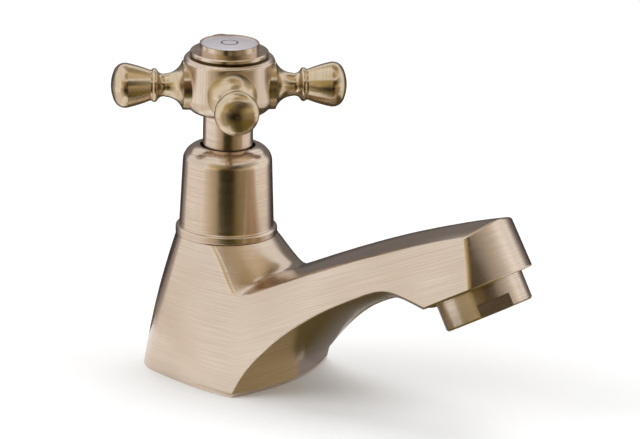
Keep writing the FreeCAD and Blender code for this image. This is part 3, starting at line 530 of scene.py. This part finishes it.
class TAP_OT_tail_and_clamp(bpy.types.Operator):
    """Cut the tail's thread, and finish the nut and washers under the deck"""

    bl_idname = "tap.tail_and_clamp"
    bl_label = "Tail and clamp"

    def execute(self, context):
        sizes = context.scene.tap_thread
        # Turned and tapped from bar, left bare: warm yellow metal, bright along its crests.
        brass = grained("machined brass", "C79A4B", "D9B468", 0.5 * MM, 0.28, metallic=1.0)
        tail = new_piece("tail_with_thread", "tap", brass)
        modifier = tail.modifiers.new("thread", "NODES")
        modifier.node_group = thread_tree(brass)
        set_inputs(modifier, {
            "Radius": TAIL_RADIUS, "Bore Radius": TAIL_BORE_RADIUS, "Low": TAIL_LOW.z, "High": GASKET_HIGH.z,
            "Pitch": sizes.pitch, "Depth": sizes.depth, "Steps": sizes.steps})
        make_plain(tail)
        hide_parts("threaded_tail")
        give(brass, "backnut")
        # Stamped from rolled sheet: neutral grey metal with a soft, even shine.
        steel = grained("pressed stainless steel", "B4B5B2", "C6C7C4", 0.4 * MM, 0.3, metallic=1.0)
        give(steel, "clamp_washer")
        # Cut from moulded sheet: near black and dull, with a broad faint sheen.
        rubber = grained("black nitrile rubber", "17181A", "232427", 0.3 * MM, 0.6)
        give(rubber, "base_gasket", "rubber_washer")
        return {"FINISHED"}


class TAP_OT_valve(bpy.types.Operator):
    """Finish the valve, the seals and the handle's inner pieces"""

    bl_idname = "tap.valve"
    bl_label = "Valve and seals"

    def execute(self, context):
        # Turned from bar on a lathe: warm yellow metal with a smooth, slightly soft shine.
        brass = grained("turned brass", "C49A52", "D6B26C", 0.4 * MM, 0.3, metallic=1.0)
        give(brass, "valve_bonnet", "spindle")
        # Fired, then lapped flat: ivory white with an even gloss.
        alumina = grained("lapped alumina", "DAD6CC", "E4E1D8", 0.8 * MM, 0.2, coat=0.4)
        give(alumina, "fixed_ceramic_disc", "moving_ceramic_disc")
        # Rolled and hardened: cool grey metal with a fine satin shine.
        steel = grained("spring steel", "A9AAA8", "BDBEBC", 0.4 * MM, 0.3, metallic=1.0)
        give(steel, "spindle_circlip", "handle_screw")
        # Injection moulded: clean white with soft highlights.
        acetal = grained("moulded white acetal", "D8D8D4", "E2E2DE", 0.6 * MM, 0.4)
        give(acetal, "friction_washer", "spline_bush")
        # Moulded in polished tools: black, a little shinier than the washers under the deck.
        rubber = grained("black seal rubber", "161719", "212225", 0.3 * MM, 0.55)
        give(rubber, "seat_seal", "bonnet_washer", "spindle_o_rings", "shroud_seal", "index_o_ring",
             "aerator_washer")
        return {"FINISHED"}


# ---------------------------------------------------------------- stage

PICTURE_WIDTH = 640          # pixels
SENSOR_WIDTH = 36.0          # millimetres, as Blender gives it
ROOM_LIGHT = 0.5             # the white room's light on paper and porcelain
CARD_LIGHT = 1.25            # how bright a white card is beside the room's white
FLOOR_GAP = 0.05 * MM        # keeps the paper clear of the body's flat base
FLOOR_RINGS = (0.3, 0.8)     # radii of the floor's inner rings of points, in metres
FLOOR_SEGMENTS = 96
PAPER_FADE = (0.15, 0.6)     # metres from the tap between which the paper melts into white
PAPER_FIBRE = 1.5 * MM       # drawn coarser than real fibres, so that it shows

# Name, bearing, distance, height, (width, length) and power, in degrees, metres and watts.
SOFTBOXES = (
    ("softbox left", -75, 1.3, 0.9, (1.2, 1.2), 14.0),
    ("softbox right", 80, 1.4, 0.8, (1.0, 1.2), 10.0),
    ("softbox top", 160, 0.7, 1.5, (1.4, 1.4), 12.0),
)

# Bearings are in degrees from the camera's own, positive to the right of the picture.
STRIPE = (
    (-58, "D2C8BA"), (-46, "B8AD98"), (-32, "988C6C"), (-24, "080602"), (9, "080602"), (19, "6F6148"),
    (29, "8E8066"), (60, "8E8066"))
ON_THE_FLOOR = ((-118, "DFD9D3"), (-70, "DFD9D3"), *STRIPE, (75, "D8D0C4"), (118, "DFD9D3"))
FAR_OUT = ((-70, "FFFFFF"), *STRIPE, (80, "FFFFFF"))
BEHIND_ON_THE_FLOOR = (
    (118, "DFD9D3"), (132, "8A8480"), (146, "3A3533"), (180, "3A3533"), (214, "3A3533"), (228, "8A8480"),
    (242, "DFD9D3"))
LOW_IN_FRONT = (
    (-60, "FFFFFF"), (-40, "DCD0B0"), (-28, "C9BA90"), (-14, "4A3C22"), (10, "4A3C22"), (30, "A3946A"),
    (64, "D8CCAE"), (80, "FFFFFF"))
IN_FRONT = (
    (-60, "FFFFFF"), (-45, "C9B98C"), (-22, "AB9C6C"), (0, "6A5A36"), (12, "3A2F1C"), (32, "3A2F1C"),
    (48, "857C70"), (80, "C2BCB2"), (105, "FFFFFF"))
BEHIND = (
    (122, "FFFFFF"), (140, "6E6864"), (160, "6E6A69"), (200, "6E6A69"), (225, "7C7674"), (240, "FFFFFF"))
OVERHEAD = (
    (-40, "FFFFFF"), (0, "99865E"), (40, "AE9C78"), (71, "D2C5B0"), (100, "C2B091"), (140, "8C8069"),
    (200, "A8A095"), (240, "FFFFFF"))
# Painted shade: tones of the floor round the foot and under the spout, darkened as in the tap's own shadow,
# for reflections only.
SHADE_NEAR_THE_FOOT = (
    (-30, "6F6434"), (-15, "4A4220"), (0, "4A4220"), (15, "6F6434"), (35, "6F6434"), (60, "6F6434"))
SHADE_BEYOND_THE_FOOT = tuple((turn, "564D31") for turn in range(60, 231, 17))
SHADE_UNDER_THE_SPOUT = (
    (-180, "7C7674"), (-135, "8E8166"), (-90, "8E8166"), (-46, "8E8166"), (0, "564D31"), (60, "504628"),
    (95, "5A5240"), (134, "67635C"), (180, "7C7674"))

# Glowing cards that only reflections see: their tones are painted reflections on the metal.
# Each card's tones, then the (distance, height) of its near and of its far edge, in metres.
CARDS = {
    "card on the floor": (ON_THE_FLOOR, (0.1, 0.001), (0.27, 0.001)),
    "card far out": (FAR_OUT, (0.27, 0.001), (1.6, 0.001)),
    "card behind on the floor": (BEHIND_ON_THE_FLOOR, (0.1, 0.001), (1.6, 0.001)),
    "card low in front": (LOW_IN_FRONT, (1.6, 0.0), (1.6, 0.38)),
    "card in front": (IN_FRONT, (1.6, 0.38), (1.6, 1.2)),
    "card behind": (BEHIND, (1.6, 0.0), (1.6, 0.8)),
    "card overhead": (OVERHEAD, (1.2, 1.3), (0.2, 1.3)),
    # These three paint the floor's shade round the tap into the reflections.
    "painted floor shade near the foot": (SHADE_NEAR_THE_FOOT, (0.035, 0.002), (0.18, 0.002)),
    "painted floor shade beyond the foot": (SHADE_BEYOND_THE_FOOT, (0.035, 0.002), (0.1, 0.002)),
    "painted floor shade under the spout": (SHADE_UNDER_THE_SPOUT, (0.002, 0.001), (0.035, 0.001)),
}


def reflection_glow():
    """Glowing card: its tones are painted reflections, which only reflections see."""
    material = new_material("glowing card for painted reflections")
    tree = material.node_tree
    tone = add(tree, "ShaderNodeAttribute", attribute_name="tone").outputs["Color"]
    glow = add(tree, "ShaderNodeEmission", {"Color": tone, "Strength": CARD_LIGHT})
    return finish_material(material, glow.outputs["Emission"])


def around_object(turn_deg, distance, height, stage):
    """A point at a bearing from the camera's own, positive to the right of the picture."""
    bearing = stage.azimuth - math.pi / 2 + math.radians(turn_deg)
    centre = Vector(stage.aim)
    return Vector((centre.x + distance * math.cos(bearing), centre.y + distance * math.sin(bearing), height))


def card(name, stops, near, far, painted_glow, stage):
    """A card round the object.  stops are (bearing, colour), near and far its edges' (distance, height).

    Only reflections see it, as in a product photograph cut out of its background: it glows, and its tones are
    painted reflections on the metal."""
    points = [tuple(around_object(turn, *edge, stage)) for edge in (near, far) for turn, colour in stops]
    count = len(stops)
    faces = [(step, step + 1, step + count + 1, step + count) for step in range(count - 1)]
    mesh = bpy.data.meshes.new(name)
    mesh.from_pydata(points, [], faces)
    tones = mesh.color_attributes.new("tone", "FLOAT_COLOR", "POINT")
    for point, (turn, colour) in zip(tones.data, stops * 2):
        point.color = linear(colour)
    mesh.materials.append(painted_glow)
    screen = bpy.data.objects.new(name, mesh)
    bpy.context.scene.collection.objects.link(screen)
    screen.visible_camera = False
    screen.visible_shadow = False
    screen.visible_diffuse = False


def softbox(name, turn_deg, distance, height, size, power, stage):
    """A soft lamp that looks at the object, and that reflections don't see."""
    lamp = bpy.data.lights.new(name, "AREA")
    lamp.shape = "RECTANGLE"
    lamp.size, lamp.size_y = size
    lamp.energy = power
    holder = bpy.data.objects.new(name, lamp)
    bpy.context.scene.collection.objects.link(holder)
    holder.location = around_object(turn_deg, distance, height, stage)
    towards = Vector(stage.aim) - holder.location
    holder.rotation_euler = towards.to_track_quat("-Z", "Y").to_euler()
    holder.visible_glossy = False


def pale_floor(stage):
    """A round paper floor with a hole for the tail, melting into the white room far out."""
    rings = (GASKET_HIGH.x, *FLOOR_RINGS, stage.floor_radius)
    mesh = bpy.data.meshes.new("floor")
    turns = [2 * math.pi * step / FLOOR_SEGMENTS for step in range(FLOOR_SEGMENTS)]
    points = [
        (radius * math.cos(turn), radius * math.sin(turn), -FLOOR_GAP) for radius in rings for turn in turns]
    faces = []
    for low in range(0, len(points) - FLOOR_SEGMENTS, FLOOR_SEGMENTS):
        high = low + FLOOR_SEGMENTS
        for step in range(FLOOR_SEGMENTS):
            after = (step + 1) % FLOOR_SEGMENTS
            faces.append((low + step, high + step, high + after, low + after))
    mesh.from_pydata(points, [], faces)
    floor = bpy.data.objects.new("floor", mesh)
    bpy.context.scene.collection.objects.link(floor)
    material = new_material("white paper floor")
    tree = material.node_tree
    place = add(tree, "ShaderNodeTexCoord").outputs["Object"]
    distance = add(tree, "ShaderNodeVectorMath", {0: place}, operation="LENGTH").outputs["Value"]
    far = add(tree, "ShaderNodeMapRange", {
        "Value": distance, "From Min": PAPER_FADE[0], "From Max": PAPER_FADE[1]},
        interpolation_type="SMOOTHSTEP").outputs["Result"]
    fibre = add(tree, "ShaderNodeTexNoise", {
        "Vector": place, "Scale": 1 / PAPER_FIBRE, "Detail": 3.0}).outputs["Fac"]
    colour = add(tree, "ShaderNodeMix", {
        "Factor": fibre, 6: linear("F4F4F4"), 7: linear("FAFAFA")}, data_type="RGBA").outputs[2]
    paper = add(tree, "ShaderNodeBsdfPrincipled", {"Base Color": colour, "Roughness": 0.9}).outputs["BSDF"]
    white = add(tree, "ShaderNodeEmission", {"Strength": 1.0}).outputs["Emission"]
    surface = add(tree, "ShaderNodeMixShader", {"Fac": far, 1: paper, 2: white}).outputs["Shader"]
    mesh.materials.append(finish_material(material, surface))


def white_room():
    """White to the camera and in reflections, dimmer as a light."""
    world = bpy.data.worlds.new("white room")
    bpy.context.scene.world = world
    world.use_nodes = True
    tree = world.node_tree
    tree.nodes.clear()
    ray = add(tree, "ShaderNodeLightPath").outputs
    seen = ray["Is Camera Ray"]
    for kind in ("Is Glossy Ray", "Is Transmission Ray"):
        seen = add(tree, "ShaderNodeMath", {0: seen, 1: ray[kind]}, operation="MAXIMUM").outputs["Value"]
    strength = add(tree, "ShaderNodeMapRange", {
        "Value": seen, "To Min": ROOM_LIGHT, "To Max": 1.0}).outputs["Result"]
    room = add(tree, "ShaderNodeBackground", {"Color": linear("FFFFFF"), "Strength": strength})
    add(tree, "ShaderNodeOutputWorld", {"Surface": room.outputs["Background"]})


class TAP_OT_stage(bpy.types.Operator):
    """Set the floor, the white room, the soft lamps, the glowing cards of painted reflections and the camera
    """

    bl_idname = "tap.stage"
    bl_label = "Stage"

    def execute(self, context):
        stage = context.scene.tap_stage
        pale_floor(stage)
        white_room()
        for lamp in SOFTBOXES:
            softbox(*lamp, stage)
        painted_glow = reflection_glow()
        for name, (stops, near, far) in CARDS.items():
            card(name, stops, near, far, painted_glow, stage)
        self.place_camera(context, stage)
        context.scene.view_settings.view_transform = "Standard"
        return {"FINISHED"}

    def place_camera(self, context, stage):
        """A long lens at the picture's angle, turned by its roll."""
        cos_a, sin_a = math.cos(stage.azimuth), math.sin(stage.azimuth)
        cos_e, sin_e = math.cos(stage.elevation), math.sin(stage.elevation)
        across = Vector((cos_a, sin_a, 0.0))
        upward = Vector((-sin_a * sin_e, cos_a * sin_e, cos_e))
        backward = Vector((sin_a * cos_e, -cos_a * cos_e, sin_e))
        right = across * math.cos(stage.roll) + upward * math.sin(stage.roll)
        up = upward * math.cos(stage.roll) - across * math.sin(stage.roll)
        lens = bpy.data.cameras.new("camera")
        lens.sensor_width = SENSOR_WIDTH
        lens.lens = stage.pixels_per_mm * stage.distance / MM * SENSOR_WIDTH / PICTURE_WIDTH
        lens.clip_end = 2 * stage.distance
        camera = bpy.data.objects.new("camera", lens)
        context.scene.collection.objects.link(camera)
        place = Vector(stage.aim) + backward * stage.distance
        camera.matrix_world = Matrix.Translation(place) @ Matrix((right, up, backward)).transposed().to_4x4()
        context.scene.camera = camera


class TAP_PT_panel(bpy.types.Panel):
    """Sizes, colours and steps of the tap"""

    bl_label = "Cross handle basin tap"
    bl_idname = "TAP_PT_panel"
    bl_space_type = "VIEW_3D"
    bl_region_type = "UI"
    bl_category = "Tap"

    def draw(self, context):
        layout = self.layout
        for group in (context.scene.tap_brass, context.scene.tap_thread, context.scene.tap_stage):
            box = layout.box()
            for name in group.__annotations__:
                box.prop(group, name)
        for operator in OPERATORS:
            layout.operator(operator.bl_idname)


GROUPS = (BrassFinish, ThreadSizes, StageSizes)
OPERATORS = (
    TAP_OT_cast_body, TAP_OT_turned_covers, TAP_OT_cross_arms, TAP_OT_index_disc, TAP_OT_outlet,
    TAP_OT_tail_and_clamp, TAP_OT_valve, TAP_OT_stage,
)


def register():
    for item in (*GROUPS, *OPERATORS, TAP_PT_panel):
        bpy.utils.register_class(item)
    bpy.types.Scene.tap_brass = bpy.props.PointerProperty(type=BrassFinish)
    bpy.types.Scene.tap_thread = bpy.props.PointerProperty(type=ThreadSizes)
    bpy.types.Scene.tap_stage = bpy.props.PointerProperty(type=StageSizes)


def unregister():
    del bpy.types.Scene.tap_stage
    del bpy.types.Scene.tap_thread
    del bpy.types.Scene.tap_brass
    for item in reversed((*GROUPS, *OPERATORS, TAP_PT_panel)):
        bpy.utils.unregister_class(item)


def main():
    register()
    for operator in OPERATORS:
        group, name = operator.bl_idname.split(".")
        getattr(getattr(bpy.ops, group), name)()


if __name__ == "__main__":
    main()
